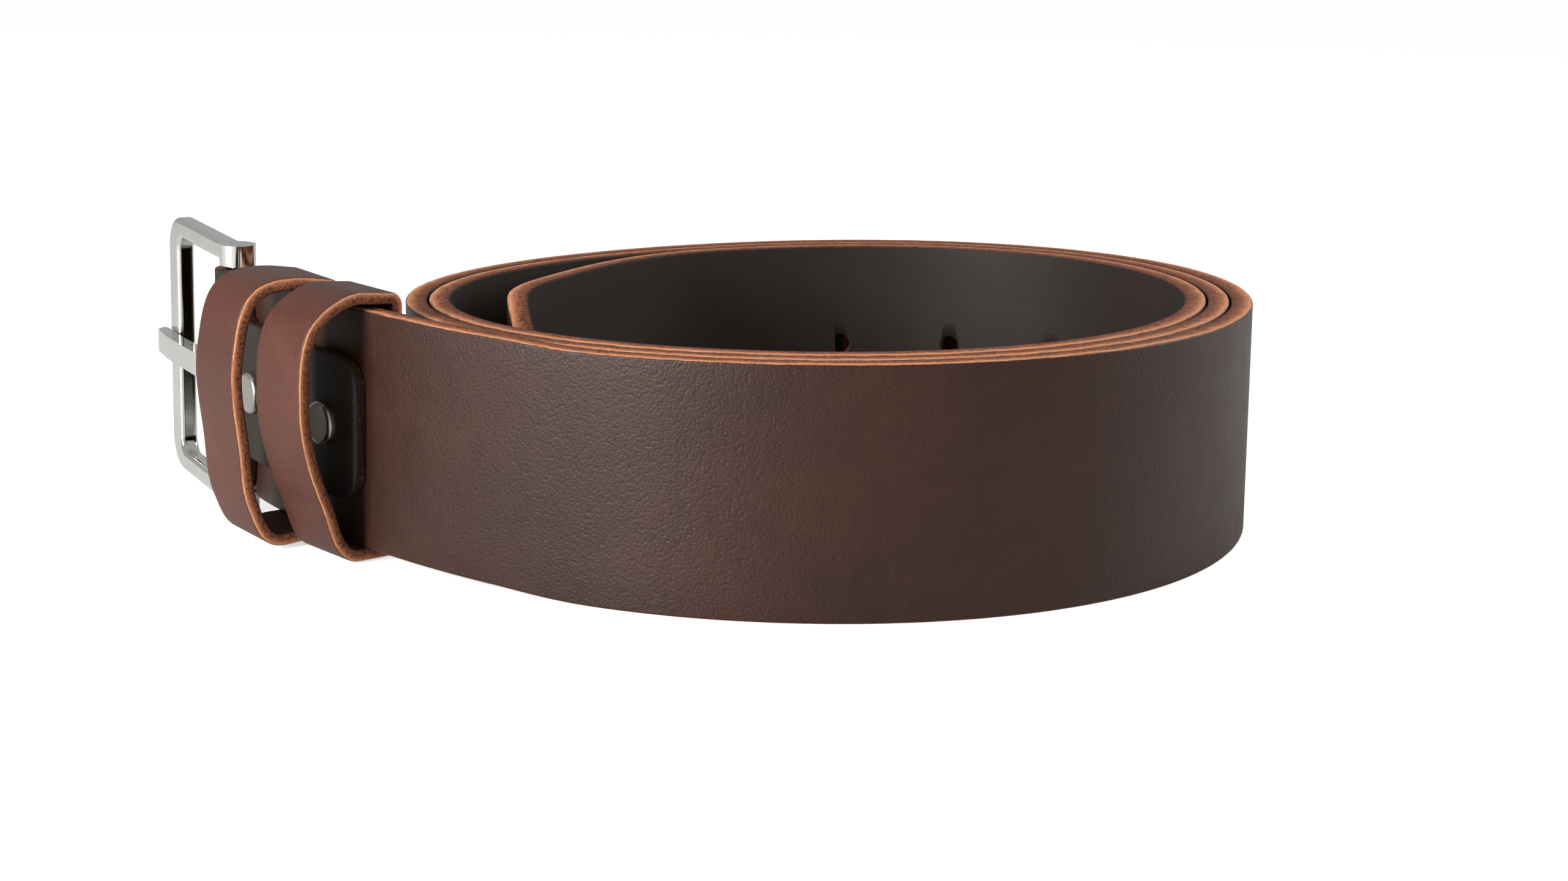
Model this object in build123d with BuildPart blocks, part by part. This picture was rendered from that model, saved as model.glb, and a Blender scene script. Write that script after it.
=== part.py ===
import os
from math import atan2, cos, degrees, radians, sin

from build123d import *

# A single-layer leather belt, rolled up on edge, with its buckle end hanging off the roll.
# Millimetres. Z is up. The roll stands on Z = 0.

# Strap leather
strap_width = 38.0
strap_thick = 3.5
layer_gap = 0.3

# Roll: an egg-shaped spiral about the roll's centre, outermost turn first
roll_at = (25.4, 0.64)
roll_radius = 72.1
oval_rise = 2.04
oval_toward = 34.5
egg_rise = 1.28
egg_toward = 61.0
leave_angle = 243.1
wound_angle = 1043.0
spline_step = 14.9

# Free tongue end inside the roll, which springs away from the turn behind it
tongue_spring = 9.0
spring_from = 949.0
spring_to = 1002.0
tip_length = 22.0
hole_radius = 2.0
hole_count = 5
hole_spacing = 22.0
first_hole = 113.0
punch_start = 3.0

# Buckle end: it leaves the roll in a wide curve and climbs on a shallow slope
run_radius = 146.8
run_slope = 2.6
run_aim = 137.0
bar_along = 93.4

# Fold of the strap end round the heel bar, and the flap turned back on the front
fold_thick = 1.8
fold_slope = 6.2
fold_lap = 0.6
flap_thick = 2.0
flap_root = 0.2
flap_width = 23.0
flap_corner = 5.0
flap_end_along = 49.8
slot_height = 6.5
slot_back = 4.6

# Buckle: heel bar, frame and prong
bar_radius = 1.75
bar_chamfer = 0.3
bar_in_leather = 0.25
bar_in_prong = 0.05
bar_in_frame = 0.02
frame_length = 36.0
frame_thick = 3.2
front_bar_depth = 5.4
arm_height = 3.5
arm_clearance = 0.5
lug_radius = 3.0
frame_corner = 6.0
window_corner = 2.6
frame_round = 0.9
prong_width = 4.0
prong_thick = 2.6
prong_eye_radius = 3.3
prong_overhang = 1.6
prong_round = 0.4
prong_rest_gap = 0.12

# Keeper loops
keeper_thick = 2.0
keeper_below = 0.1
keeper_above = 0.4
arch_crown = 0.5
arch_foot = 0.8
slide_arch_rise = 9.9
slide_arch_knots = ((0.76, 0.945), (1.0, 0.63), (0.62, 0.23))
fixed_arch_rise = 11.5
fixed_arch_knots = ((0.74, 0.997), (1.0, 0.766), (0.896, 0.384), (0.687, 0.129))
slide_keeper_back = 1.75
fixed_keeper_back = 0.16
slide_keeper_along = 50.0
slide_keeper_width = 12.0
slide_seam = 9.1
fixed_keeper_along = 65.0
fixed_keeper_width = 12.8
butt_gap = 0.3
back_corner = 0.3
arch_steps = 14

# Staples that close the keepers
wire_radius = 0.4
staple_span = 7.0
staple_grip = 0.03
fixed_bite = 2.3
staple_end_gap = 0.2
staple_bend = 0.6

# Screws through strap and flap
post_along = (58.5, 82.4)
post_radius = 2.5
post_clearance = 0.05
head_radius = 3.5
head_thick = 1.2
head_dome = 0.7
barrel_end_gap = 0.1
barrel_floor = 0.8
screw_radius = 1.5
screw_clearance = 0.05
driver_slot = 0.8
driver_slot_depth = 0.55
head_seat = 0.07

turn_pitch = strap_thick + layer_gap
mid_height = strap_width / 2
cutter_reach = 12.0


def smooth(value):
    """Smooth step from 0 to 1."""
    value = min(1.0, max(0.0, value))
    return value * value * (3 - 2 * value)


def roll_point(unwound, depth):
    """Point of the spiral at a depth under its outer face, an unwound angle behind the leave point."""
    angle = leave_angle + unwound
    spring = tongue_spring * smooth((unwound - spring_from) / (spring_to - spring_from))
    radius = roll_radius - turn_pitch * unwound / 360 - depth - spring
    radius += oval_rise * cos(radians(2 * (angle - oval_toward)))
    radius += egg_rise * cos(radians(3 * (angle - egg_toward)))
    return (roll_at[0] + radius * cos(radians(angle)), roll_at[1] + radius * sin(radians(angle)))


def roll_heading(unwound):
    """Direction of travel towards the buckle along the spiral, in degrees."""
    ahead = roll_point(unwound - 0.05, 0)
    behind = roll_point(unwound + 0.05, 0)
    return degrees(atan2(ahead[1] - behind[1], ahead[0] - behind[0]))


def roll_angle_at(length_from_tip):
    """Unwound angle of the place that lies a given length of strap from the tip."""
    unwound = wound_angle
    walked = 0.0
    while walked < length_from_tip:
        here = Vector(*roll_point(unwound, strap_thick / 2))
        unwound -= 0.25
        walked += (Vector(*roll_point(unwound, strap_thick / 2)) - here).length
    return unwound


# The buckle end is drawn on a plane that climbs at run_slope along run_aim
aim = radians(run_aim)
slope = radians(run_slope)
climb = Vector(cos(aim) * cos(slope), sin(aim) * cos(slope), sin(slope))
upright = Vector(-cos(aim) * sin(slope), -sin(aim) * sin(slope), cos(slope))
leave_point = roll_point(0, 0)
run_plane = Plane(origin=(leave_point[0], leave_point[1], 0), x_dir=climb, z_dir=upright)
start_turn = roll_heading(0) % 360 - run_aim
run_centre = (run_radius * sin(radians(start_turn)), -run_radius * cos(radians(start_turn)))


def run_angle(along):
    """Polar angle about the run's centre of curvature, at a distance along the outer face."""
    return start_turn + 90 - degrees(along / run_radius)


def station(along, outward=0.0, up=0.0):
    """Plane on the run: X towards the buckle, Y out of the strap's front face, Z up its width."""
    turn = radians(run_angle(along))
    reach = run_radius + outward
    local = Vector(run_centre[0] + reach * cos(turn), run_centre[1] + reach * sin(turn), up)
    origin = run_plane.from_local_coords(local)
    tip = run_plane.from_local_coords(local + Vector(sin(turn), -cos(turn), 0))
    return Plane(origin=origin, x_dir=tip - origin, z_dir=upright)


def facing(along, outward=0.0, up=0.0):
    """Plane that faces out of the strap's front: X towards the buckle, Y down, Z outward."""
    base = station(along, outward, up)
    return Plane(origin=base.origin, x_dir=base.x_dir, z_dir=base.y_dir)


def across(along, up=0.0):
    """Plane across the strap: X outward from its front face, Y up its width, Z towards the buckle."""
    base = station(along, 0, up)
    return Plane(origin=base.origin, x_dir=base.y_dir, z_dir=base.x_dir)


def run_band(inner, outer, start, end):
    """Sketch of a strip that follows the run between two distances along it."""
    sweep_angle = degrees((end - start) / run_radius)
    with BuildSketch(Plane.XY, mode=Mode.PRIVATE) as strip:
        with BuildLine():
            far = CenterArc(run_centre, run_radius + outer, run_angle(end), sweep_angle)
            near = CenterArc(run_centre, run_radius + inner, run_angle(end), sweep_angle)
            Line(far @ 0, near @ 0)
            Line(far @ 1, near @ 1)
        make_face()
    return strip.sketch


# Heel bar: it lies so that the fold's back is flush with the strap's back face
fold_inner = bar_radius + bar_in_leather
fold_outer = fold_inner + fold_thick
bar_out = fold_outer - strap_thick
bar_station = station(bar_along, bar_out)
run_end = bar_along - fold_slope

# Strap: spiral roll, run, fold and flap, all one piece of leather
angles = [spline_step * i for i in range(int(wound_angle / spline_step))] + [wound_angle]
with BuildPart() as strap:
    with BuildSketch():
        with BuildLine():
            outer_face = Spline([roll_point(a, 0) for a in angles])
            inner_face = Spline([roll_point(a, strap_thick) for a in angles])
            Line(outer_face @ 0, inner_face @ 0)
            Line(outer_face @ 1, inner_face @ 1)
        make_face()
    extrude(amount=strap_width)

    # Run, drawn flat on the climbing plane
    with BuildSketch(run_plane):
        add(run_band(-strap_thick, 0, 0, run_end))
    extrude(amount=strap_width)

    # Fold round the heel bar
    with BuildSketch(bar_station):
        with BuildLine():
            flap_face = flap_thick - bar_out
            Line((-fold_slope - fold_lap, -fold_outer), (0, -fold_outer))
            CenterArc((0, 0), fold_outer, -90, 180)
            Polyline((0, fold_outer), (-fold_slope, flap_face), (-fold_slope - fold_lap, flap_face),
                     (-fold_slope - fold_lap, -fold_outer))
        make_face()
    extrude(amount=strap_width)

    # Flap, a narrower strip with a round-cornered end
    flap_length = bar_along - flap_end_along
    flap_strip = run_plane * run_band(-flap_root, flap_thick, flap_end_along - flap_corner, run_end)
    flap_blank = extrude(flap_strip, amount=strap_width, dir=upright, mode=Mode.PRIVATE)
    with BuildSketch(facing(flap_end_along, 0, mid_height), mode=Mode.PRIVATE) as flap_outline:
        with Locations((flap_length / 2, 0)):
            RectangleRounded(flap_length, flap_width, flap_corner)
    flap_window = extrude(flap_outline.sketch, amount=cutter_reach, both=True, mode=Mode.PRIVATE)
    add(flap_blank & flap_window)

    # Bore for the heel bar and slot for the prong
    with BuildSketch(bar_station):
        Circle(fold_inner)
    extrude(amount=strap_width, mode=Mode.SUBTRACT)
    with BuildSketch(station(bar_along, bar_out, mid_height - slot_height / 2)):
        with Locations(((2 * fold_outer - slot_back) / 2, 0)):
            Rectangle(2 * fold_outer + slot_back, 4 * fold_outer)
    extrude(amount=slot_height, mode=Mode.SUBTRACT)

    # Post holes
    for along in post_along:
        with BuildSketch(facing(along, 0, mid_height)):
            Circle(post_radius + post_clearance)
        extrude(amount=strap_thick + flap_thick, both=True, mode=Mode.SUBTRACT)

    # Adjustment holes through the innermost turn
    for i in range(hole_count):
        unwound = roll_angle_at(first_hole + hole_spacing * i)
        inside = roll_point(unwound, strap_thick + punch_start)
        outside = roll_point(unwound, 0)
        away = Vector(outside[0] - inside[0], outside[1] - inside[1], 0)
        with BuildSketch(Plane(origin=(inside[0], inside[1], mid_height), x_dir=(0, 0, 1), z_dir=away)):
            Circle(hole_radius)
        extrude(amount=punch_start + strap_thick + layer_gap / 2, mode=Mode.SUBTRACT)

    # Rounded tip: waste is cut off above and below a blunt nose
    shoulder = roll_angle_at(tip_length)
    tip_from = Vector(*roll_point(shoulder, strap_thick / 2))
    tip_to = Vector(*roll_point(wound_angle, strap_thick / 2))
    tip_dir = (tip_to - tip_from).normalized()
    tip_reach = (tip_to - tip_from).length
    tip_plane = Plane(origin=(tip_from.X, tip_from.Y, mid_height), x_dir=(tip_dir.X, tip_dir.Y, 0),
                      z_dir=(tip_dir.Y, -tip_dir.X, 0))
    for edge in (mid_height, -mid_height):
        with BuildSketch(tip_plane):
            with BuildLine():
                nose = Spline([(0, edge), (tip_reach * 0.68, edge * 0.72), (tip_reach, 0)],
                              tangents=[(1, 0), (0, -edge)])
                Polyline(nose @ 1, (tip_reach * 1.2, 0), (tip_reach * 1.2, edge * 1.1),
                         (0, edge * 1.1), nose @ 0)
            make_face()
        extrude(amount=strap_thick * 0.9, both=True, mode=Mode.SUBTRACT)

    # Legs of the fixed keeper's staple
    fixed_mid = fixed_keeper_along + fixed_keeper_width / 2
    for side in (1, -1):
        with BuildSketch(facing(fixed_mid, -strap_thick, mid_height + side * staple_span / 2)):
            Circle(wire_radius + staple_grip)
        extrude(amount=fixed_bite + staple_end_gap, both=True, mode=Mode.SUBTRACT)
strap.part.label = "strap"

# Heel bar: a steel pin pressed into the two frame lugs
frame_height = strap_width + 2 * (arm_clearance + arm_height)
frame_bottom = -arm_clearance - arm_height
with BuildPart() as heel_bar:
    with BuildSketch(station(bar_along, bar_out, frame_bottom)):
        Circle(bar_radius)
    extrude(amount=frame_height)
    chamfer(heel_bar.edges().filter_by(GeomType.CIRCLE), bar_chamfer)
heel_bar.part.label = "heel_bar"

# Buckle frame: a cast U with rounded edges, and a lug round each end of the bar
with BuildPart() as buckle_frame:
    with BuildSketch(facing(bar_along, bar_out - frame_thick / 2, mid_height)) as outline:
        with Locations((frame_length / 2, 0)):
            Rectangle(frame_length, frame_height)
        fillet(outline.vertices().sort_by(Axis.X)[-2:], frame_corner)
    extrude(amount=frame_thick)
    with BuildSketch(facing(bar_along, bar_out - frame_thick / 2, mid_height)) as window:
        with Locations(((frame_length - front_bar_depth) / 2, 0)):
            Rectangle(frame_length - front_bar_depth, frame_height - 2 * arm_height)
        fillet(window.vertices().sort_by(Axis.X)[-2:], window_corner)
    extrude(amount=frame_thick, mode=Mode.SUBTRACT)
    rims = buckle_frame.faces().sort_by(Axis((0, 0, 0), bar_station.y_dir))
    rim_edges = rims[0].edges() + rims[-1].edges()
    fillet(rim_edges.filter_by(lambda rim: abs(rim.length - arm_height) > frame_round / 10), frame_round)
    for low in (frame_bottom, strap_width + arm_clearance):
        with BuildSketch(station(bar_along, bar_out, low)):
            Circle(lug_radius)
        extrude(amount=arm_height)
    with BuildSketch(station(bar_along, bar_out, frame_bottom)):
        Circle(bar_radius + bar_in_frame)
    extrude(amount=frame_height, mode=Mode.SUBTRACT)
buckle_frame.part.label = "buckle_frame"

# Prong: an eye round the heel bar and a tapered tongue that rests on the front bar
rest_level = frame_thick / 2 + prong_rest_gap
prong_reach = frame_length + prong_overhang
front_bar_back = frame_length - front_bar_depth
with BuildPart() as prong:
    with BuildSketch(station(bar_along, bar_out, mid_height - prong_width / 2)):
        with BuildLine():
            Polyline((0, prong_eye_radius), (0, 0.5), (prong_eye_radius - 0.6, 0.3),
                     (front_bar_back - 3, rest_level), (prong_reach - 0.8, rest_level),
                     (prong_reach, rest_level + 0.7), (prong_reach - 1.6, rest_level + prong_thick - 0.5),
                     (front_bar_back - 2, rest_level + prong_thick), (0, prong_eye_radius))
        make_face()
        Circle(prong_eye_radius)
        Circle(bar_radius + bar_in_prong, mode=Mode.SUBTRACT)
    extrude(amount=prong_width)
    along_bar = prong.edges().filter_by(Axis((0, 0, 0), bar_station.z_dir))
    fillet(along_bar.sort_by(Axis((0, 0, 0), bar_station.x_dir))[-3:], prong_round)
prong.part.label = "prong"


def keeper_outline(back, rise, knots, grow):
    """Inside of a keeper grown by an amount: flat behind the strap, a slack arch in front of it.
    The knots are shares of the arch's rise and of the strap's width."""
    low = -keeper_below
    high = strap_width + keeper_above
    behind = -strap_thick - back - grow
    between = [(rise * out, strap_width * up) for out, up in knots]
    with BuildLine(mode=Mode.PRIVATE):
        arch = Spline([(0, high + arch_crown)] + between + [(arch_foot, low)],
                      tangents=[(1, 0.12), (-1, -0.06)])
    steps = [i / arch_steps for i in range(arch_steps + 1)]
    grown = [arch @ u + Vector(-(arch % u).Y, (arch % u).X) * grow for u in steps]
    with BuildSketch(Plane.XY, mode=Mode.PRIVATE) as outline:
        with BuildLine():
            front = Spline(grown)
            Polyline(front @ 0, (behind, high + grow), (behind, low - grow), front @ 1)
        make_face()
        fillet(outline.vertices().sort_by(Axis.X)[:2], back_corner + grow)
    return outline.sketch


def keeper(along, width, back, rise, knots, seam_height):
    """Leather strip bent into a loop, its ends butted on the back run, with holes for its staple."""
    behind = -strap_thick - back
    with BuildPart() as loop:
        with BuildSketch(across(along)):
            add(keeper_outline(back, rise, knots, keeper_thick))
            add(keeper_outline(back, rise, knots, 0), mode=Mode.SUBTRACT)
            with Locations((behind - keeper_thick / 2, seam_height)):
                Rectangle(keeper_thick * 1.2, butt_gap, mode=Mode.SUBTRACT)
        extrude(amount=width / 2, both=True)
        for side in (1, -1):
            with BuildSketch(facing(along, behind, seam_height + side * staple_span / 2)):
                Circle(wire_radius + staple_grip)
            extrude(amount=keeper_thick * 1.5, both=True, mode=Mode.SUBTRACT)
    return loop


def staple(along, back, height, leg_length):
    """Wire staple: a crown outside a keeper's back run and two legs through the leather."""
    base = station(along, -strap_thick - back - keeper_thick - wire_radius, height)
    half = staple_span / 2
    with BuildPart() as wire:
        with BuildLine(Plane(origin=base.origin, x_dir=base.y_dir, z_dir=base.x_dir)) as path:
            FilletPolyline((leg_length, -half), (0, -half), (0, half), (leg_length, half),
                           radius=staple_bend)
        with BuildSketch(Plane(origin=path.line @ 0, z_dir=path.line % 0)):
            Circle(wire_radius)
        sweep()
    return wire


# Fixed keeper: its back run lies on the strap and its staple bites into the strap
fixed_keeper = keeper(fixed_mid, fixed_keeper_width, fixed_keeper_back, fixed_arch_rise,
                      fixed_arch_knots, mid_height)
fixed_keeper.part.label = "fixed_keeper"
fixed_leg = wire_radius + keeper_thick + fixed_bite
fixed_keeper_staple = staple(fixed_mid, fixed_keeper_back, mid_height, fixed_leg)
fixed_keeper_staple.part.label = "fixed_keeper_staple"

# Sliding keeper: loose on the strap and clear of the screw heads front and back
slide_mid = slide_keeper_along + slide_keeper_width / 2
sliding_keeper = keeper(slide_mid, slide_keeper_width, slide_keeper_back, slide_arch_rise,
                        slide_arch_knots, slide_seam)
sliding_keeper.part.label = "sliding_keeper"
sliding_keeper_staple = staple(slide_mid, slide_keeper_back, slide_seam, wire_radius + keeper_thick)
sliding_keeper_staple.part.label = "sliding_keeper_staple"

# Screw posts: domed heads on the flap, hollow barrels through flap and strap
barrel_length = strap_thick + flap_thick - barrel_end_gap
with BuildPart() as screw_posts:
    for along in post_along:
        seat = facing(along, flap_thick, mid_height)
        with BuildSketch(seat):
            Circle(head_radius)
        extrude(amount=head_thick)
        fillet(screw_posts.edges(Select.LAST).sort_by(Axis(seat.origin, seat.z_dir))[-1], head_dome)
        with BuildSketch(facing(along, flap_thick - barrel_length, mid_height)):
            Circle(post_radius)
        extrude(amount=barrel_length)
        with BuildSketch(facing(along, flap_thick - barrel_length, mid_height)):
            Circle(screw_radius + screw_clearance)
        extrude(amount=barrel_length - barrel_floor, mode=Mode.SUBTRACT)
screw_posts.part.label = "screw_posts"

# Post screws: slotted heads on the back, shanks inside the posts
with BuildPart() as post_screws:
    for along in post_along:
        with BuildSketch(facing(along, -strap_thick - head_seat - head_thick, mid_height)):
            Circle(head_radius)
        extrude(amount=head_thick)
        with BuildSketch(facing(along, -strap_thick - head_seat, mid_height)):
            Circle(screw_radius)
        extrude(amount=barrel_length - barrel_floor - barrel_end_gap)
        with BuildSketch(facing(along, -strap_thick - head_seat - head_thick, mid_height)):
            Rectangle(3 * head_radius, driver_slot)
        extrude(amount=driver_slot_depth, mode=Mode.SUBTRACT)
post_screws.part.label = "post_screws"

pieces = [strap, heel_bar, buckle_frame, prong, fixed_keeper, sliding_keeper,
          fixed_keeper_staple, sliding_keeper_staple, screw_posts, post_screws]
os.makedirs("parts", exist_ok=True)
for piece in pieces:
    export_step(piece.part, f"parts/{piece.part.label}.step")
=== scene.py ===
import bmesh
import bpy
import numpy as np
from mathutils import Matrix, Vector


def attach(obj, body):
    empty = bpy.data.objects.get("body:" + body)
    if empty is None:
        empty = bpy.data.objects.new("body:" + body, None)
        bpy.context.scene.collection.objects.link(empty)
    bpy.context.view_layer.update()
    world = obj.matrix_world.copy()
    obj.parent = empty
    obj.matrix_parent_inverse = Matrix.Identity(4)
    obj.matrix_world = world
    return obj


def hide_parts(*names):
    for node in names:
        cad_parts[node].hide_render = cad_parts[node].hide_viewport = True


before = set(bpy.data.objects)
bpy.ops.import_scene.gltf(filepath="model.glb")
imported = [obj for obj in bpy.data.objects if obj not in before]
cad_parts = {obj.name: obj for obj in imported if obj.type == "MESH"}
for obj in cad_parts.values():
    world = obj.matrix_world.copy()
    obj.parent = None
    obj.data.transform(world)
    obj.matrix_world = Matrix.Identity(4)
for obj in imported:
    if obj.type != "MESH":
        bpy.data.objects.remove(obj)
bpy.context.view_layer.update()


# ---- Strap ----------------------------------------------------------------------------------
# One strip of full-grain cowhide, dyed through from both faces, its edges cut and left raw.
# It is rolled up on edge from the tongue, and its other end folds forward round the heel bar.
strap_width = 0.038
strap_thick = 0.0035
turn_pitch = 0.0038
roll_at = np.array([0.0254, 0.00064])
roll_radius = 0.0721
oval_rise = 0.00204
oval_toward = np.radians(34.5)
egg_rise = 0.00128
egg_toward = np.radians(61.0)
leave_angle = 243.1
wound_angle = 1043.0
tongue_spring = 0.009
spring_from = 949.0
spring_to = 1002.0
run_radius = 0.1468
run_slope = np.radians(2.6)
run_aim = np.radians(137.0)
lean_in = 0.022
bar_along = 0.0934
bar_radius = 0.00175
fold_gap = 0.00025
fold_thick = 0.0018
skive_from = 0.0855
flap_thick = 0.002
flap_half = 0.0115
flap_corner = 0.005
flap_end = 0.0498
flap_lift = 0.00003
flap_edge_share = 0.33
tip_length = 0.022
grain_round = 0.00035
first_hole = 0.113
hole_spacing = 0.022
hole_count = 5
hole_radius = 0.002
nose_flat = 0.0007
end_radius = 0.0003
fold_rows = 25
shoulder_from = skive_from - 0.0004
shoulder_length = 0.0024
slot_half = 0.00325
slot_back = 0.0046
slot_ahead = 0.004
slot_reach = 0.007
post_reach = 0.006
hole_reach = strap_thick / 2 + 0.0001
post_along = np.array([0.0585, 0.0824])
post_hole = 0.00255


def ease(value):
    """Smooth step: 3 v^2 - 2 v^3, with v held between 0 and 1."""
    value = np.clip(value, 0.0, 1.0)
    return value * value * (3 - 2 * value)


def roll_face(unwound, depth):
    """Spiral: the radius falls one pitch a turn and by the depth. Cosines of twice and three
    times the angle make the turns oval and egg-shaped, and the tongue springs further in."""
    angle = np.radians(leave_angle + unwound)
    radius = roll_radius - turn_pitch * unwound / 360 - depth
    radius = radius - tongue_spring * ease((unwound - spring_from) / (spring_to - spring_from))
    radius = radius + oval_rise * np.cos(2 * (angle - oval_toward))
    radius = radius + egg_rise * np.cos(3 * (angle - egg_toward))
    plan = roll_at + radius[:, None] * np.stack([np.cos(angle), np.sin(angle)], axis=1)
    return np.column_stack([plan, np.zeros(len(plan))])


def unit(vectors):
    """Each row over its own length."""
    return vectors / np.linalg.norm(vectors, axis=-1, keepdims=True)


near_leave = roll_face(np.array([-0.05, 0.05]), np.zeros(2))
leave_way = near_leave[0] - near_leave[1]
start_turn = np.arctan2(leave_way[1], leave_way[0]) - run_aim
leave_point = roll_face(np.zeros(1), np.zeros(1))[0]


def run_frames(along, outward=0.0):
    """Buckle end, a circular arc on a plane that climbs gently: places on the front face's lower
    edge, then unit vectors to the buckle, out of the front and up the width. The climb and the
    lean come in over the first stretch, so that the strap twists smoothly off the roll."""
    along = np.atleast_1d(np.asarray(along, dtype=float))
    turn = start_turn + np.pi / 2 - along / run_radius
    centre = run_radius * np.array([np.sin(start_turn), -np.cos(start_turn)])
    reach = run_radius + np.broadcast_to(np.asarray(outward, dtype=float), along.shape)
    plan_x = centre[0] + reach * np.cos(turn)
    plan_y = centre[1] + reach * np.sin(turn)
    tilt = run_slope * ease(along / lean_in)
    aim_x = np.cos(run_aim)
    aim_y = np.sin(run_aim)
    climb_way = np.column_stack([aim_x * np.cos(tilt), aim_y * np.cos(tilt), np.sin(tilt)])
    up_way = np.column_stack([-aim_x * np.sin(tilt), -aim_y * np.sin(tilt), np.cos(tilt)])
    side_way = np.cross(up_way, climb_way)
    places = leave_point + plan_x[:, None] * climb_way + plan_y[:, None] * side_way
    forward = np.sin(turn)[:, None] * climb_way - np.cos(turn)[:, None] * side_way
    out_way = np.cos(turn)[:, None] * climb_way + np.sin(turn)[:, None] * side_way
    return places, forward, out_way, up_way


def strip_sections(places, inward, up, low, high, thick, inset, end_cut):
    """Rounded rectangle carried along a path. Each section runs up the grain face, over the top
    cut edge, down the flesh face and along the bottom one. Inset shrinks it all round, and rounds
    off an end. Returns the grid of points, each point's share of cut edge and its share of depth."""
    corner = np.radians([8.0, 32.0, 58.0, 82.0])
    face = np.linspace(0.0, 1.0, 9)
    rim = np.linspace(0.0, 1.0, 5)
    round_depth = np.concatenate([0 * face, 1 - np.cos(corner), 1 - 2 * rim, np.sin(corner) - 1,
                                  0 * face, np.cos(corner) - 1, 2 * rim - 1, 1 - np.sin(corner)])
    share_depth = np.concatenate([0 * face, 0 * corner, rim, 1 + 0 * corner,
                                  1 + 0 * face, 1 + 0 * corner, 1 - rim, 0 * corner])
    round_height = np.concatenate([1 - 2 * face, np.sin(corner) - 1, 0 * rim, np.cos(corner) - 1,
                                   2 * face - 1, 1 - np.sin(corner), 0 * rim, 1 - np.cos(corner)])
    share_height = np.concatenate([face, 1 + 0 * corner, 1 + 0 * rim, 1 + 0 * corner,
                                   1 - face, 0 * corner, 0 * rim, 0 * corner])
    rim_share = np.concatenate([0 * face, np.sin(corner) ** 2, 1 + 0 * rim, np.cos(corner) ** 2,
                                0 * face, np.sin(corner) ** 2, 1 + 0 * rim, np.cos(corner) ** 2])
    wide = high - low - 2 * inset
    deep = thick - 2 * inset
    radius = np.minimum(grain_round, 0.45 * np.minimum(wide, deep))[:, None]
    depth = inset[:, None] + share_depth * deep[:, None] + round_depth * radius
    height = (low + inset)[:, None] + share_height * wide[:, None] + round_height * radius
    grid = places[:, None] + depth[..., None] * inward[:, None] + height[..., None] * up[:, None]
    cut = np.maximum(rim_share[None, :], end_cut[:, None])
    return grid, cut, depth / thick[:, None], height


def face_out(mesh):
    """Turns a closed skin the other way round if the volume inside it comes out negative."""
    shell = bmesh.new()
    shell.from_mesh(mesh)
    if shell.calc_volume(signed=True) < 0:
        mesh.flip_normals()
    shell.free()


def grid_mesh(name, grid, layers):
    """Skin of quads over a grid whose rows are closed sections. Its ends are capped with one
    face each, and every layer, a grid of number pairs, is stored as a UV map."""
    rows, columns = grid.shape[:2]
    index = np.arange(rows * columns).reshape(rows, columns)
    right = np.roll(index, -1, axis=1)
    quads = np.stack([index[:-1], index[1:], right[1:], right[:-1]], axis=-1).reshape(-1, 4)
    mesh = bpy.data.meshes.new(name)
    caps = [index[0].tolist(), index[-1][::-1].tolist()]
    mesh.from_pydata(grid.reshape(-1, 3), [], quads.tolist() + caps)
    face_out(mesh)
    for layer_name, values in layers.items():
        layer = mesh.uv_layers.new(name=layer_name)
        corner_vertex = np.empty(len(mesh.loops), dtype=np.int32)
        mesh.loops.foreach_get("vertex_index", corner_vertex)
        layer.uv.foreach_set("vector", values.reshape(-1, 2)[corner_vertex].astype(np.float32).ravel())
    mesh.shade_smooth()
    piece = bpy.data.objects.new(name, mesh)
    bpy.context.scene.collection.objects.link(piece)
    return piece


# Stations of the roll, tip first: the rounded nose, then even steps of a degree to the leave point
fine_roll = np.linspace(wound_angle, 0.0, 4173)
fine_mid = roll_face(fine_roll, np.full(len(fine_roll), strap_thick / 2))
walked = np.concatenate([[0.0], np.cumsum(np.linalg.norm(np.diff(fine_mid, axis=0), axis=1))])
nose_turn = np.radians(np.concatenate([np.linspace(89.9, 72, 10), np.linspace(68, 0, 18)]))
nose_length = tip_length * np.sin(nose_turn)
nose_unwound = np.interp(tip_length - nose_length, walked, fine_roll)
rest_unwound = np.linspace(nose_unwound[-1], 0.0, 1010)[1:-1]
roll_unwound = np.concatenate([nose_unwound, rest_unwound])
half_width = strap_width / 2
roll_half = np.concatenate([half_width * np.cos(nose_turn), np.full(len(rest_unwound), half_width)])
roll_half = np.maximum(roll_half, nose_flat)
roll_front = roll_face(roll_unwound, np.zeros(len(roll_unwound)))
roll_back = roll_face(roll_unwound, np.full(len(roll_unwound), strap_thick))
roll_inward = roll_back - roll_front
roll_thick = np.linalg.norm(roll_inward, axis=1)
roll_inward = unit(roll_inward)
roll_up = np.tile([0.0, 0.0, 1.0], (len(roll_unwound), 1))

# Run to the fold, with the leather skived thinner just before it
bar_out = bar_radius + fold_gap + fold_thick - strap_thick
run_along = np.concatenate([np.linspace(0.0, skive_from, 74),
                            np.linspace(skive_from, bar_along, 12)[1:-1]])
run_place, _, run_out, run_up = run_frames(run_along)
skive = (strap_thick - fold_thick) * ease((run_along - skive_from) / (bar_along - skive_from))
run_front = run_place - skive[:, None] * run_out

# Half turn round the heel bar
bar_place, bar_forward, bar_outward, bar_up = [row[0] for row in run_frames([bar_along], bar_out)]
fold_turn = np.radians(np.linspace(-90, 90, fold_rows))
fold_way = np.cos(fold_turn)[:, None] * bar_forward + np.sin(fold_turn)[:, None] * bar_outward
fold_front = bar_place + (bar_radius + fold_gap) * fold_way

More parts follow.
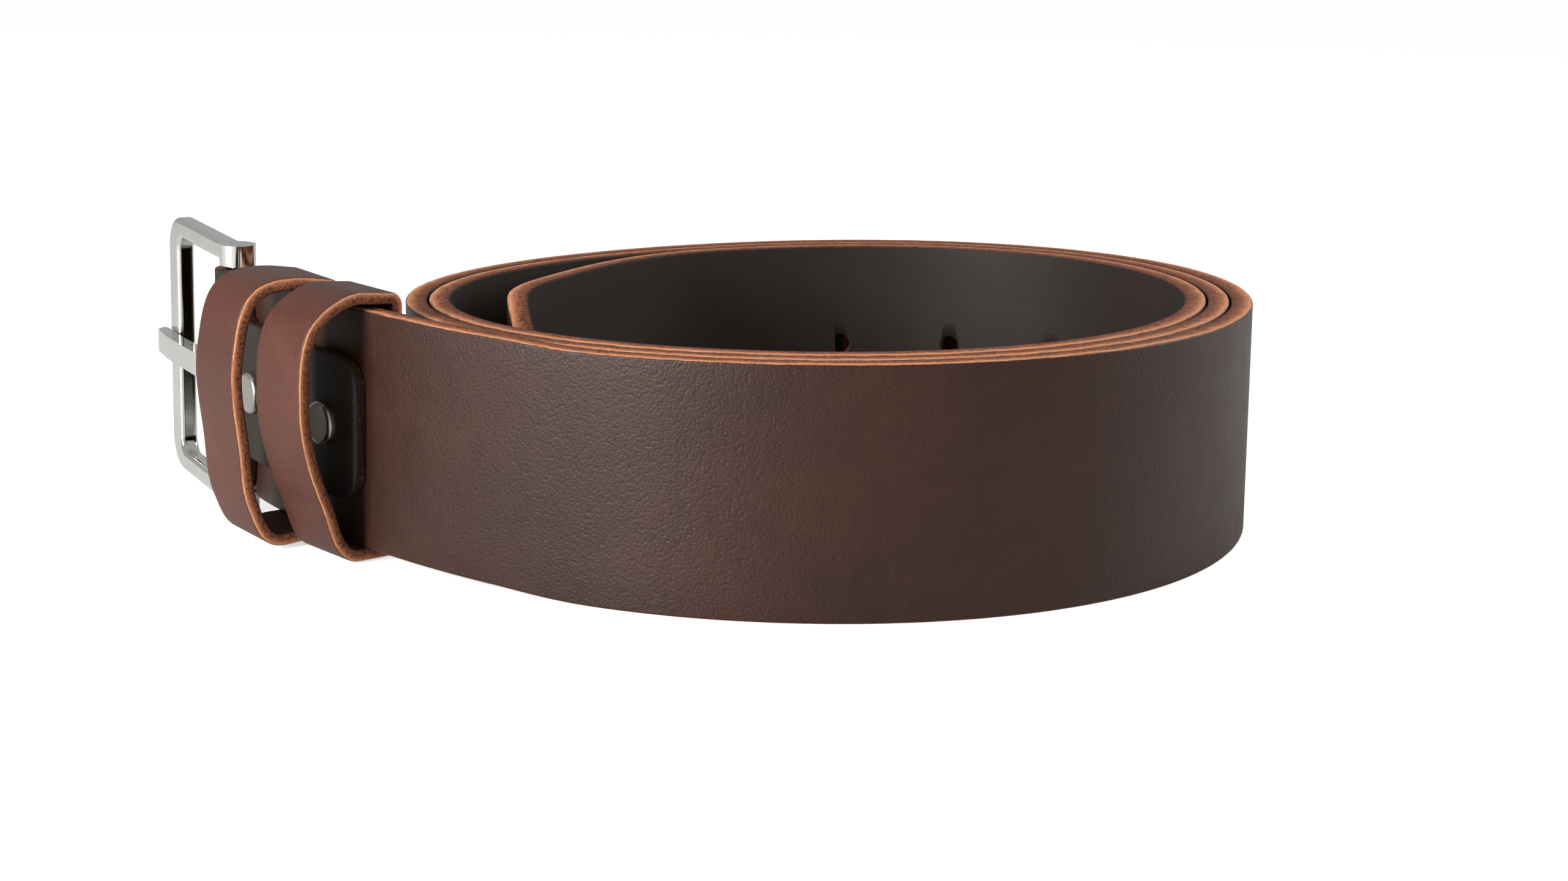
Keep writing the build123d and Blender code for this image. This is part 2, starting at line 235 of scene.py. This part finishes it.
# Flap laid back on the front face: it narrows past the fold and ends in a round-cornered cut
flap_along = np.concatenate([np.linspace(bar_along, skive_from, 16)[1:],
                             np.linspace(skive_from, flap_end + flap_corner, 34)[1:],
                             flap_end + flap_corner * (1 - np.sin(np.radians(np.linspace(4, 88, 12))))])
flap_rise = (bar_out + bar_radius + fold_gap) * ease((flap_along - skive_from) / (bar_along - skive_from))
flap_front, _, flap_out, flap_up = run_frames(flap_along, flap_rise + flap_lift)
thickening = ease((bar_along - flap_along) / (bar_along - skive_from))
flap_deep = fold_thick + (flap_thick - fold_thick) * thickening
shoulder = ease((flap_along - shoulder_from) / shoulder_length)
corner_left = np.clip(1 - (flap_along - flap_end) / flap_corner, 0, 1)
flap_wide = flap_half - flap_corner * (1 - np.sqrt(1 - corner_left ** 2))
flap_wide = flap_wide + (half_width - flap_half) * shoulder

places = np.concatenate([roll_front, run_front, fold_front, flap_front])
inward = np.concatenate([roll_inward, -run_out, fold_way, flap_out])
up = np.concatenate([roll_up, run_up, np.tile(bar_up, (fold_rows, 1)), flap_up])
thick = np.concatenate([roll_thick, strap_thick - skive, np.full(fold_rows, fold_thick), flap_deep])
half = np.concatenate([roll_half, np.full(len(run_along) + fold_rows, half_width), flap_wide])
end_round = end_radius * (1 - np.sin(np.radians([20.0, 50.0, 80.0])))
inset = np.zeros(len(places))
inset[:3] = end_round
inset[-3:] = end_round[::-1]
end_cut = np.zeros(len(places))
end_cut[:3] = 1.0
end_cut[-3:] = 1.0
grid, cut, depth, height = strip_sections(places, inward, up, half_width - half,
                                          half_width + half, thick, inset, end_cut)
cut[-len(flap_along):] *= flap_edge_share
path_length = np.concatenate([[0.0], np.cumsum(np.linalg.norm(np.diff(places, axis=0), axis=1))])
length_grid = np.broadcast_to(path_length[:, None], depth.shape)
strap_leather = grid_mesh("strap_leather", grid, {
    "cut": np.stack([cut, depth], axis=-1),
    "strip": np.stack([length_grid, height], axis=-1)})


def punches(name, centres, ways, ups, radius, half_length, stretch=0.0, sides=40):
    """Round or stadium-shaped punch at each centre: a ring of the radius, its halves pulled apart
    by the stretch, carried from minus to plus the half length along its way."""
    spin = np.linspace(0, 2 * np.pi, sides, endpoint=False) + np.pi / sides
    across = np.cross(ways, ups)
    pull = stretch * np.sign(np.cos(spin))
    ring = ((radius * np.cos(spin) + pull)[None, :, None] * across[:, None]
            + (radius * np.sin(spin))[None, :, None] * ups[:, None]) + centres[:, None]
    low_ring = ring - half_length * ways[:, None]
    high_ring = ring + half_length * ways[:, None]
    index = np.arange(len(centres) * 2 * sides).reshape(len(centres), 2, sides)
    right = np.roll(index, -1, axis=2)
    walls = np.stack([index[:, 0], right[:, 0], right[:, 1], index[:, 1]], axis=-1).reshape(-1, 4)
    mesh = bpy.data.meshes.new(name)
    mesh.from_pydata(np.stack([low_ring, high_ring], axis=1).reshape(-1, 3), [],
                     walls.tolist() + index[:, 1].tolist() + index[:, 0, ::-1].tolist())
    face_out(mesh)
    for layer_name in ("cut", "strip"):
        layer = mesh.uv_layers.new(name=layer_name)
        layer.uv.foreach_set("vector", np.tile([1.0, 0.7], len(mesh.loops)).astype(np.float32))
    tool = bpy.data.objects.new(name, mesh)
    bpy.context.scene.collection.objects.link(tool)
    return tool


def punch_out(piece, tool):
    """Takes the punch out of the piece and keeps the result as the piece's own mesh."""
    cutter = piece.modifiers.new("punch", "BOOLEAN")
    cutter.operation = "DIFFERENCE"
    cutter.solver = "EXACT"
    cutter.object = tool
    evaluated = piece.evaluated_get(bpy.context.evaluated_depsgraph_get())
    punched = bpy.data.meshes.new_from_object(evaluated)
    piece.modifiers.clear()
    piece.data = punched
    bpy.data.objects.remove(tool)


hole_unwound = np.interp(first_hole + hole_spacing * np.arange(hole_count), walked, fine_roll)
hole_out = roll_face(hole_unwound, np.zeros(hole_count))
hole_in = roll_face(hole_unwound, np.full(hole_count, strap_thick))
hole_way = unit(hole_out - hole_in)
mid_up = np.array([0.0, 0.0, half_width])
hole_up = np.tile([0.0, 0.0, 1.0], (hole_count, 1))
hole_mid = (hole_out + hole_in) / 2 + mid_up
punch_out(strap_leather, punches("hole_punch", hole_mid, hole_way, hole_up, hole_radius, hole_reach))
post_place, _, post_out, post_up = run_frames(post_along)
post_mid = post_place + half_width * post_up
punch_out(strap_leather, punches("post_punch", post_mid, post_out, post_up, post_hole, post_reach))
slot_mid = bar_place + half_width * bar_up + (slot_ahead - slot_back / 2) * bar_forward
slot_stretch = slot_ahead + slot_back / 2 - slot_half / 2
punch_out(strap_leather, punches("slot_punch", slot_mid[None], bar_outward[None], bar_up[None],
                                 slot_half, slot_reach, stretch=slot_stretch))


def new_group(name, inputs, outputs):
    """Shader node group with named inputs, each with its kind and value, and named outputs."""
    group = bpy.data.node_groups.new(name, "ShaderNodeTree")
    for label, kind, value in inputs:
        socket = group.interface.new_socket(label, in_out="INPUT", socket_type="NodeSocket" + kind)
        if value is not None:
            socket.default_value = value
    for label, kind in outputs:
        group.interface.new_socket(label, in_out="OUTPUT", socket_type="NodeSocket" + kind)
    return group, group.nodes.new("NodeGroupInput"), group.nodes.new("NodeGroupOutput")


def wire(tree, kind, *sources, **values):
    """Adds one node. Sources go to its inputs in order, a None leaves an input alone, and the
    named values set its properties, or the value of the input with that name or number."""
    node = tree.nodes.new("ShaderNode" + kind)
    for key, value in values.items():
        if hasattr(node, key):
            setattr(node, key, value)
    for key, value in values.items():
        if not hasattr(node, key):
            slot = int(key[1:]) if key[1:].isdigit() else key.replace("_", " ")
            node.inputs[slot].default_value = value
    for slot, source in enumerate(sources):
        if source is not None:
            tree.links.new(source, node.inputs[slot])
    return node


def math_node(tree, operation, *sources, **values):
    """Result of one Math node."""
    return wire(tree, "Math", *sources, operation=operation, **values).outputs[0]


def ramp(tree, source, stops):
    """Colour ramp from a list of places and colours."""
    node = wire(tree, "ValToRGB", source)
    while len(node.color_ramp.elements) < len(stops):
        node.color_ramp.elements.new(0.5)
    for element, (place, colour) in zip(node.color_ramp.elements, stops):
        element.position = place
        element.color = (*colour, 1.0)
    return node.outputs[0]


def blend_colour(tree, factor, first, second, mode="MIX", amount=None):
    """Mix of two colours, each a socket or a colour, by a socket or a fixed amount."""
    node = tree.nodes.new("ShaderNodeMix")
    node.data_type = "RGBA"
    node.blend_type = mode
    if factor is not None:
        tree.links.new(factor, node.inputs[0])
    else:
        node.inputs[0].default_value = amount
    for slot, value in ((6, first), (7, second)):
        if isinstance(value, tuple):
            node.inputs[slot].default_value = (*value, 1.0)
        else:
            tree.links.new(value, node.inputs[slot])
    return node.outputs[2]


def blend_value(tree, factor, first, second):
    """Mix of two numbers, each a socket or a value, by a socket."""
    node = tree.nodes.new("ShaderNodeMix")
    tree.links.new(factor, node.inputs[0])
    for slot, value in ((2, first), (3, second)):
        if isinstance(value, float):
            node.inputs[slot].default_value = value
        else:
            tree.links.new(value, node.inputs[slot])
    return node.outputs[0]


# Pebble grain: small rounded cells with creases between them, warped so that no two are alike
pebble, pebble_in, pebble_out = new_group(
    "pebble_grain", [("Vector", "Vector", None), ("Cells per metre", "Float", 900.0)],
    [("Height", "Float"), ("Crease", "Float")])
warp = wire(pebble, "TexNoise", pebble_in.outputs[0], Scale=420.0, Detail=2.0)
warped = wire(pebble, "VectorMath", pebble_in.outputs[0], None, operation="ADD")
shift = wire(pebble, "VectorMath", warp.outputs["Color"], operation="SCALE", Scale=0.0011)
pebble.links.new(shift.outputs[0], warped.inputs[1])
cells = wire(pebble, "TexVoronoi", warped.outputs[0], pebble_in.outputs[1], feature="SMOOTH_F1",
             Smoothness=0.35, Randomness=1.0)
pebble.links.new(warped.outputs[0], cells.inputs["Vector"])
pebble.links.new(pebble_in.outputs[1], cells.inputs["Scale"])
fine_scale = math_node(pebble, "MULTIPLY", pebble_in.outputs[1], i1=2.7)
fine = wire(pebble, "TexNoise", pebble_in.outputs[0], Detail=3.0, Roughness=0.6)
pebble.links.new(fine_scale, fine.inputs["Scale"])
dome = math_node(pebble, "MULTIPLY", cells.outputs["Distance"], cells.outputs["Distance"])
dome = math_node(pebble, "SUBTRACT", None, dome, i0=1.0)
fine_height = math_node(pebble, "MULTIPLY", fine.outputs[0], i1=0.35)
pebble.links.new(math_node(pebble, "ADD", dome, fine_height), pebble_out.inputs[0])
crease = wire(pebble, "MapRange", cells.outputs["Distance"], interpolation_type="SMOOTHSTEP",
              i1=0.35, i2=0.85)
pebble.links.new(crease.outputs[0], pebble_out.inputs[1])

# Raw cut edge: a smooth light line under the grain, then loose fibre that darkens to the flesh side
raw_edge, raw_in, raw_out = new_group(
    "raw_edge", [("Vector", "Vector", None), ("Depth", "Float", 0.5)],
    [("Color", "Color"), ("Height", "Float"), ("Roughness", "Float")])
wander = wire(raw_edge, "TexNoise", raw_in.outputs[0], Scale=240.0, Detail=4.0, Roughness=0.65)
wander_shift = math_node(raw_edge, "MULTIPLY_ADD", wander.outputs[0], i1=0.5, i2=-0.25)
layer_at = math_node(raw_edge, "ADD", raw_in.outputs[1], wander_shift)
layers = ramp(raw_edge, layer_at, [(0.0, (0.36, 0.130, 0.058)), (0.10, (0.72, 0.310, 0.150)),
                                   (0.28, (0.56, 0.205, 0.090)), (0.58, (0.38, 0.125, 0.054)),
                                   (0.92, (0.20, 0.062, 0.028))])
speck = wire(raw_edge, "TexNoise", raw_in.outputs[0], Scale=1700.0, Detail=4.0, Roughness=0.8)
speck_mask = wire(raw_edge, "MapRange", speck.outputs[0], i1=0.44, i2=0.60)
looseness = wire(raw_edge, "MapRange", layer_at, i1=0.12, i2=0.5)
dark_amount = math_node(raw_edge, "MULTIPLY", speck_mask.outputs[0], looseness.outputs[0])
dark_amount = math_node(raw_edge, "MULTIPLY", dark_amount, i1=0.88)
fibrous = blend_colour(raw_edge, dark_amount, layers, (0.06, 0.018, 0.010))
pale = wire(raw_edge, "TexNoise", raw_in.outputs[0], Scale=3300.0, Detail=2.0)
pale_mask = wire(raw_edge, "MapRange", pale.outputs[0], i1=0.60, i2=0.72)
pale_amount = math_node(raw_edge, "MULTIPLY", pale_mask.outputs[0], i1=0.5)
raw_edge.links.new(blend_colour(raw_edge, pale_amount, fibrous, (0.50, 0.24, 0.14)), raw_out.inputs[0])
tangle = math_node(raw_edge, "MULTIPLY", speck.outputs[0], looseness.outputs[0])
raw_edge.links.new(tangle, raw_out.inputs[1])
edge_rough = math_node(raw_edge, "MULTIPLY_ADD", looseness.outputs[0], i1=0.35, i2=0.55)
raw_edge.links.new(edge_rough, raw_out.inputs[2])


def leather(name, grain_colours, flesh_colours, cells_per_metre, grain_bump, grain_rough, coat):
    """Leather with three finishes on one skin: grain face, flesh face and raw cut edge. The piece's
    map called cut says how much of each a point is, and a little noise frays the borders."""
    material = bpy.data.materials.new(name)
    material.use_nodes = True
    tree = material.node_tree
    shader = tree.nodes["Principled BSDF"]
    place = wire(tree, "TexCoord").outputs["Object"]
    kind = wire(tree, "SeparateXYZ", wire(tree, "UVMap", uv_map="cut").outputs[0])
    fray = wire(tree, "TexNoise", place, Scale=1500.0, Detail=3.0)
    fray_shift = math_node(tree, "MULTIPLY_ADD", fray.outputs[0], i1=0.5, i2=-0.25)
    edge_at = math_node(tree, "ADD", kind.outputs[0], fray_shift)
    edge_range = wire(tree, "MapRange", edge_at, interpolation_type="SMOOTHSTEP", i1=0.35, i2=0.65)
    edge = edge_range.outputs[0]
    flesh = math_node(tree, "GREATER_THAN", kind.outputs[1], i1=0.5)

    broad = wire(tree, "TexNoise", place, Scale=26.0, Detail=4.0, Roughness=0.6)
    mottle = wire(tree, "TexNoise", place, Scale=190.0, Detail=3.0)
    tone = math_node(tree, "MULTIPLY_ADD", mottle.outputs[0], None, broad.outputs[0], i1=0.45)
    grain_colour = ramp(tree, tone, list(zip((0.45, 0.72, 0.98), grain_colours)))
    flesh_colour = ramp(tree, tone, list(zip((0.45, 0.95), flesh_colours)))
    grain = tree.nodes.new("ShaderNodeGroup")
    grain.node_tree = pebble
    grain.inputs["Cells per metre"].default_value = cells_per_metre
    tree.links.new(place, grain.inputs[0])
    # Painted shade: the creases between the pebbles are blended up to 35 % of the way to the darkest
    # grain colour
    crease_shade_amount = math_node(tree, "MULTIPLY", grain.outputs[1], i1=0.35)
    grain_colour = blend_colour(tree, crease_shade_amount, grain_colour, grain_colours[0])
    raw = tree.nodes.new("ShaderNodeGroup")
    raw.node_tree = raw_edge
    tree.links.new(place, raw.inputs[0])
    tree.links.new(kind.outputs[1], raw.inputs[1])

    face_colour = blend_colour(tree, flesh, grain_colour, flesh_colour)
    tree.links.new(blend_colour(tree, edge, face_colour, raw.outputs[0]), shader.inputs["Base Color"])
    rough_noise = math_node(tree, "MULTIPLY_ADD", mottle.outputs[0], i1=0.16, i2=grain_rough - 0.08)
    face_rough = blend_value(tree, flesh, rough_noise, 0.62)
    tree.links.new(blend_value(tree, edge, face_rough, raw.outputs[2]), shader.inputs["Roughness"])
    upright = wire(tree, "Mapping", place, Scale=(420.0, 420.0, 110.0))
    wrinkle = wire(tree, "TexNoise", upright.outputs[0], Scale=1.0, Detail=2.0, Roughness=0.5)
    face_height = math_node(tree, "MULTIPLY_ADD", wrinkle.outputs[0], None, grain.outputs[0], i1=0.7)
    face_height = math_node(tree, "MULTIPLY", face_height, i1=grain_bump)
    nap = wire(tree, "TexNoise", place, Scale=900.0, Detail=3.0)
    flesh_height = math_node(tree, "MULTIPLY", nap.outputs[0], i1=grain_bump * 0.5)
    face_height = blend_value(tree, flesh, face_height, flesh_height)
    edge_height = math_node(tree, "MULTIPLY", raw.outputs[1], i1=6.0)
    height_node = blend_value(tree, edge, face_height, edge_height)
    bump = wire(tree, "Bump", Strength=1.0, Distance=0.0001)
    tree.links.new(height_node, bump.inputs["Height"])
    tree.links.new(bump.outputs[0], shader.inputs["Normal"])
    shader.inputs["IOR"].default_value = 1.38
    shader.inputs["Coat Roughness"].default_value = 0.32
    if coat:
        coat_amount = math_node(tree, "MULTIPLY_ADD", edge, i1=-coat, i2=coat)
        tree.links.new(coat_amount, shader.inputs["Coat Weight"])
    return material


strap_grain = [(0.024, 0.0082, 0.0046), (0.035, 0.0118, 0.0064), (0.045, 0.0152, 0.0082)]
strap_flesh = [(0.015, 0.0090, 0.0068), (0.022, 0.0145, 0.0112)]
strap_finish = leather("strap_leather", strap_grain, strap_flesh, 2300.0, 0.55, 0.46, 0.0)
strap_leather.data.materials.append(strap_finish)
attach(strap_leather, "strap")
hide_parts("strap")


# ---- Keepers --------------------------------------------------------------------------------
# Two loops of thinner, redder leather that hold the tongue when the belt is worn. Each is one
# strip bent round the strap with its ends butted behind it. The buckle-side one is stapled down.
fixed_along = 0.065 + 0.0128 / 2
fixed_half = 0.0064
fixed_back = 0.00016
fixed_rise = 0.0115
fixed_arch = [(0.74, 0.997), (1.0, 0.766), (0.93, 0.384), (0.80, 0.129), (0.56, 0.0)]
slide_along = 0.050 + 0.012 / 2
slide_half = 0.006
slide_back = 0.00175
slide_rise = 0.0099
slide_arch = [(0.76, 0.945), (1.0, 0.63), (0.62, 0.23)]
slide_seam = 0.0091
keeper_thick = 0.002
keeper_below = 0.0001
keeper_above = 0.0004
arch_crown = 0.0005
arch_foot = 0.0008
keeper_corner = 0.0003
butt_gap = 0.0003


def arch_curve(steps, rise, shares):
    """Slack arch in front of the strap: cubic Hermite spans through places given as shares of its
    rise and of the strap's width. Inner slopes come from the neighbours, end slopes are given."""
    knots = np.vstack([[0.0, strap_width + keeper_above + arch_crown], shares * [rise, strap_width],
                       [arch_foot, -keeper_below]])
    gaps = np.linalg.norm(np.diff(knots, axis=0), axis=1)
    slopes = np.empty_like(knots)
    before = np.diff(knots, axis=0) / gaps[:, None]
    weight = (gaps[:-1] / (gaps[:-1] + gaps[1:]))[:, None]
    slopes[1:-1] = before[:-1] * (1 - weight) + before[1:] * weight
    slopes[0] = [0.993, 0.119]
    slopes[-1] = [-0.998, -0.060]
    span = np.repeat(np.arange(len(gaps)), steps)
    u = np.tile(np.arange(steps) / steps, len(gaps))[:, None]
    gap = gaps[span][:, None]
    return ((2 * u ** 3 - 3 * u ** 2 + 1) * knots[span] + (u ** 3 - 2 * u ** 2 + u) * gap * slopes[span]
            + (3 * u ** 2 - 2 * u ** 3) * knots[span + 1] + (u ** 3 - u ** 2) * gap * slopes[span + 1])


def keeper_loop(name, along, half, back, rise, shares, seam_height):
    """Band carried round the strap's section: from the seam down the back, round the lower back
    corner, out and up the arch, back over the top and down to the seam again."""
    behind = -strap_thick - back
    high = strap_width + keeper_above
    arch = arch_curve(22, rise, np.array(shares))[::-1]
    turn = np.radians(np.linspace(0, 90, 9))[:, None]
    low_corner = (np.array([behind + keeper_corner, -keeper_below + keeper_corner])
                  - keeper_corner * np.hstack([np.cos(turn), np.sin(turn)]))
    high_corner = (np.array([behind + keeper_corner, high - keeper_corner])
                   + keeper_corner * np.hstack([-np.sin(turn), np.cos(turn)]))
    down = np.linspace(seam_height - butt_gap / 2, keeper_corner, 12)[:-1, None]
    up_back = np.linspace(high - keeper_corner, seam_height + butt_gap / 2, 16)[1:, None]
    line = np.vstack([np.hstack([np.full_like(down, behind), down]), low_corner,
                      np.linspace(low_corner[-1], arch[0], 8)[1:-1], arch,
                      np.linspace(arch[-1], high_corner[0], 8)[1:-1], high_corner,
                      np.hstack([np.full_like(up_back, behind), up_back])])
    way = unit(np.gradient(line, axis=0))
    normal = np.column_stack([way[:, 1], -way[:, 0]])
    base, forward, outward, upward = [row[0] for row in run_frames([along])]
    to_world = np.stack([outward, upward])
    places = base + line @ to_world
    inward = -normal @ to_world
    thick = np.full(len(line), keeper_thick)
    inset = np.zeros(len(line))
    end_cut = np.zeros(len(line))
    inset[0] = inset[-1] = 0.0001
    end_cut[0] = end_cut[-1] = 1.0
    outer = places - keeper_thick * inward
    across = np.tile(forward, (len(line), 1))
    side = np.full(len(line), half)
    grid, cut, depth, height = strip_sections(outer, inward, across, -side, side, thick, inset, end_cut)
    path = np.concatenate([[0.0], np.cumsum(np.linalg.norm(np.diff(line, axis=0), axis=1))])
    length_grid = np.broadcast_to(path[:, None], depth.shape)
    return grid_mesh(name, grid, {"cut": np.stack([cut, depth], axis=-1),
                                  "strip": np.stack([length_grid, height], axis=-1)})


keeper_grain = [(0.052, 0.0155, 0.009), (0.080, 0.0240, 0.0135), (0.105, 0.0325, 0.019)]
keeper_flesh = [(0.036, 0.012, 0.007), (0.065, 0.021, 0.012)]
keeper_finish = leather("keeper_leather", keeper_grain, keeper_flesh, 2600.0, 0.2, 0.46, 0.06)
fixed_keeper_loop = keeper_loop("fixed_keeper_loop", fixed_along, fixed_half, fixed_back, fixed_rise,
                                fixed_arch, half_width)
sliding_keeper_loop = keeper_loop("sliding_keeper_loop", slide_along, slide_half, slide_back, slide_rise,
                                  slide_arch, slide_seam)
for loop, node, body in ((fixed_keeper_loop, "fixed_keeper", "strap"),
                         (sliding_keeper_loop, "sliding_keeper", "sliding_keeper")):
    loop.data.materials.append(keeper_finish)
    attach(loop, body)
    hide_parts(node)


# ---- Staples and screws ---------------------------------------------------------------------
# Drawn steel wire staples close the keepers, and slotted screws in domed barrel posts hold the
# folded end of the strap to the run.
def dress(node, material):
    """Gives every material slot of a CAD node one material."""
    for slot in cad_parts[node].material_slots:
        slot.material = material


def metal(name, colour, roughness, scratch_scale, scratch_amount):
    """Plated metal: one colour, with a fine wandering variation in its polish."""
    material = bpy.data.materials.new(name)
    material.use_nodes = True
    tree = material.node_tree
    shader = tree.nodes["Principled BSDF"]
    place = wire(tree, "TexCoord").outputs["Object"]
    cloud = wire(tree, "TexNoise", place, Scale=scratch_scale, Detail=5.0, Roughness=0.65)
    polish = math_node(tree, "MULTIPLY_ADD", cloud.outputs[0], i1=scratch_amount,
                       i2=roughness - scratch_amount / 2)
    tree.links.new(polish, shader.inputs["Roughness"])
    dull = wire(tree, "TexNoise", place, Scale=60.0, Detail=3.0)
    darker = tuple(0.88 * channel for channel in colour)
    shade = ramp(tree, dull.outputs[0], [(0.35, darker), (0.65, colour)])
    tree.links.new(shade, shader.inputs["Base Color"])
    bump = wire(tree, "Bump", Strength=0.15, Distance=0.0001)
    tree.links.new(cloud.outputs[0], bump.inputs["Height"])
    tree.links.new(bump.outputs[0], shader.inputs["Normal"])
    shader.inputs["Metallic"].default_value = 1.0
    return material


wire_finish = metal("staple_wire", (0.56, 0.55, 0.53), 0.34, 900.0, 0.2)
screw_finish = metal("screw_plate", (0.50, 0.47, 0.43), 0.34, 700.0, 0.16)
for node in ("fixed_keeper_staple", "sliding_keeper_staple"):
    dress(node, wire_finish)
for node in ("screw_posts", "post_screws"):
    dress(node, screw_finish)


# ---- Buckle ---------------------------------------------------------------------------------
# Cast and nickel-plated: a U-shaped frame, a pressed-in heel bar, and a prong that turns on it.
buckle_finish = metal("polished_nickel", (0.80, 0.79, 0.77), 0.10, 500.0, 0.08)
for node in ("buckle_frame", "heel_bar", "prong"):
    dress(node, buckle_finish)


# ---- Floor, light and camera ----------------------------------------------------------------
# A white table, so brightly lit that it shows as plain white except close under the belt, with
# faint light from all round and a small low window at the front left.
floor_mesh = bpy.data.meshes.new("table_top")
reach = 6.0
floor_mesh.from_pydata([(-reach, -reach, 0), (reach, -reach, 0), (reach, reach, 0), (-reach, reach, 0)],
                       [], [(0, 1, 2, 3)])
table_top = bpy.data.objects.new("table_top", floor_mesh)
bpy.context.scene.collection.objects.link(table_top)
table_finish = bpy.data.materials.new("table_white")
table_finish.use_nodes = True
table_tree = table_finish.node_tree
table_shader = table_tree.nodes["Principled BSDF"]
table_shader.inputs["Base Color"].default_value = (0.80, 0.82, 0.80, 1.0)
table_shader.inputs["Roughness"].default_value = 0.6
table_shader.inputs["Emission Color"].default_value = (1.0, 1.0, 1.0, 1.0)
seen = wire(table_tree, "LightPath").outputs["Is Camera Ray"]
table_glow = math_node(table_tree, "MULTIPLY", seen, i1=0.62)
table_tree.links.new(table_glow, table_shader.inputs["Emission Strength"])
floor_mesh.materials.append(table_finish)

sky = bpy.data.worlds.new("studio")
sky.use_nodes = True
sky_light = sky.node_tree.nodes["Background"]
sky_light.inputs["Color"].default_value = (1.0, 1.0, 1.0, 1.0)
seen = wire(sky.node_tree, "LightPath").outputs["Is Camera Ray"]
sky.node_tree.links.new(math_node(sky.node_tree, "MULTIPLY_ADD", seen, i1=0.58, i2=0.42),
                        sky_light.inputs["Strength"])
bpy.context.scene.world = sky
bpy.context.scene.view_settings.view_transform = "Standard"


def soft_box(name, place, aim, wide, high, watts):
    """Rectangular area light that faces its aim."""
    lamp = bpy.data.lights.new(name, "AREA")
    lamp.shape = "RECTANGLE"
    lamp.size = wide
    lamp.size_y = high
    lamp.energy = watts
    box = bpy.data.objects.new(name, lamp)
    box.location = place
    box.rotation_mode = "QUATERNION"
    box.rotation_quaternion = (Vector(aim) - Vector(place)).to_track_quat("-Z", "Y")
    bpy.context.scene.collection.objects.link(box)


belt_middle = (0.0, 0.0, 0.02)
soft_box("window", (-0.84, -0.74, 0.36), belt_middle, 0.34, 0.45, 18.0)
soft_box("side", (0.70, 0.15, 0.40), (0.05, 0.0, 0.02), 0.5, 0.5, 3.0)

lens_pitch = np.radians(11.888)
lens_roll = np.radians(0.228)
camera_data = bpy.data.cameras.new("camera")
camera_data.sensor_width = 36.0
camera_data.lens = 56.25
camera_place = (0.01735, -0.40985, 0.09854)
camera_data.clip_start = 0.01
camera = bpy.data.objects.new("camera", camera_data)
camera.matrix_world = (Matrix.Translation(camera_place)
                       @ Matrix.Rotation(np.pi / 2 - lens_pitch, 4, "X")
                       @ Matrix.Rotation(lens_roll, 4, "Z"))
bpy.context.scene.collection.objects.link(camera)
bpy.context.scene.camera = camera
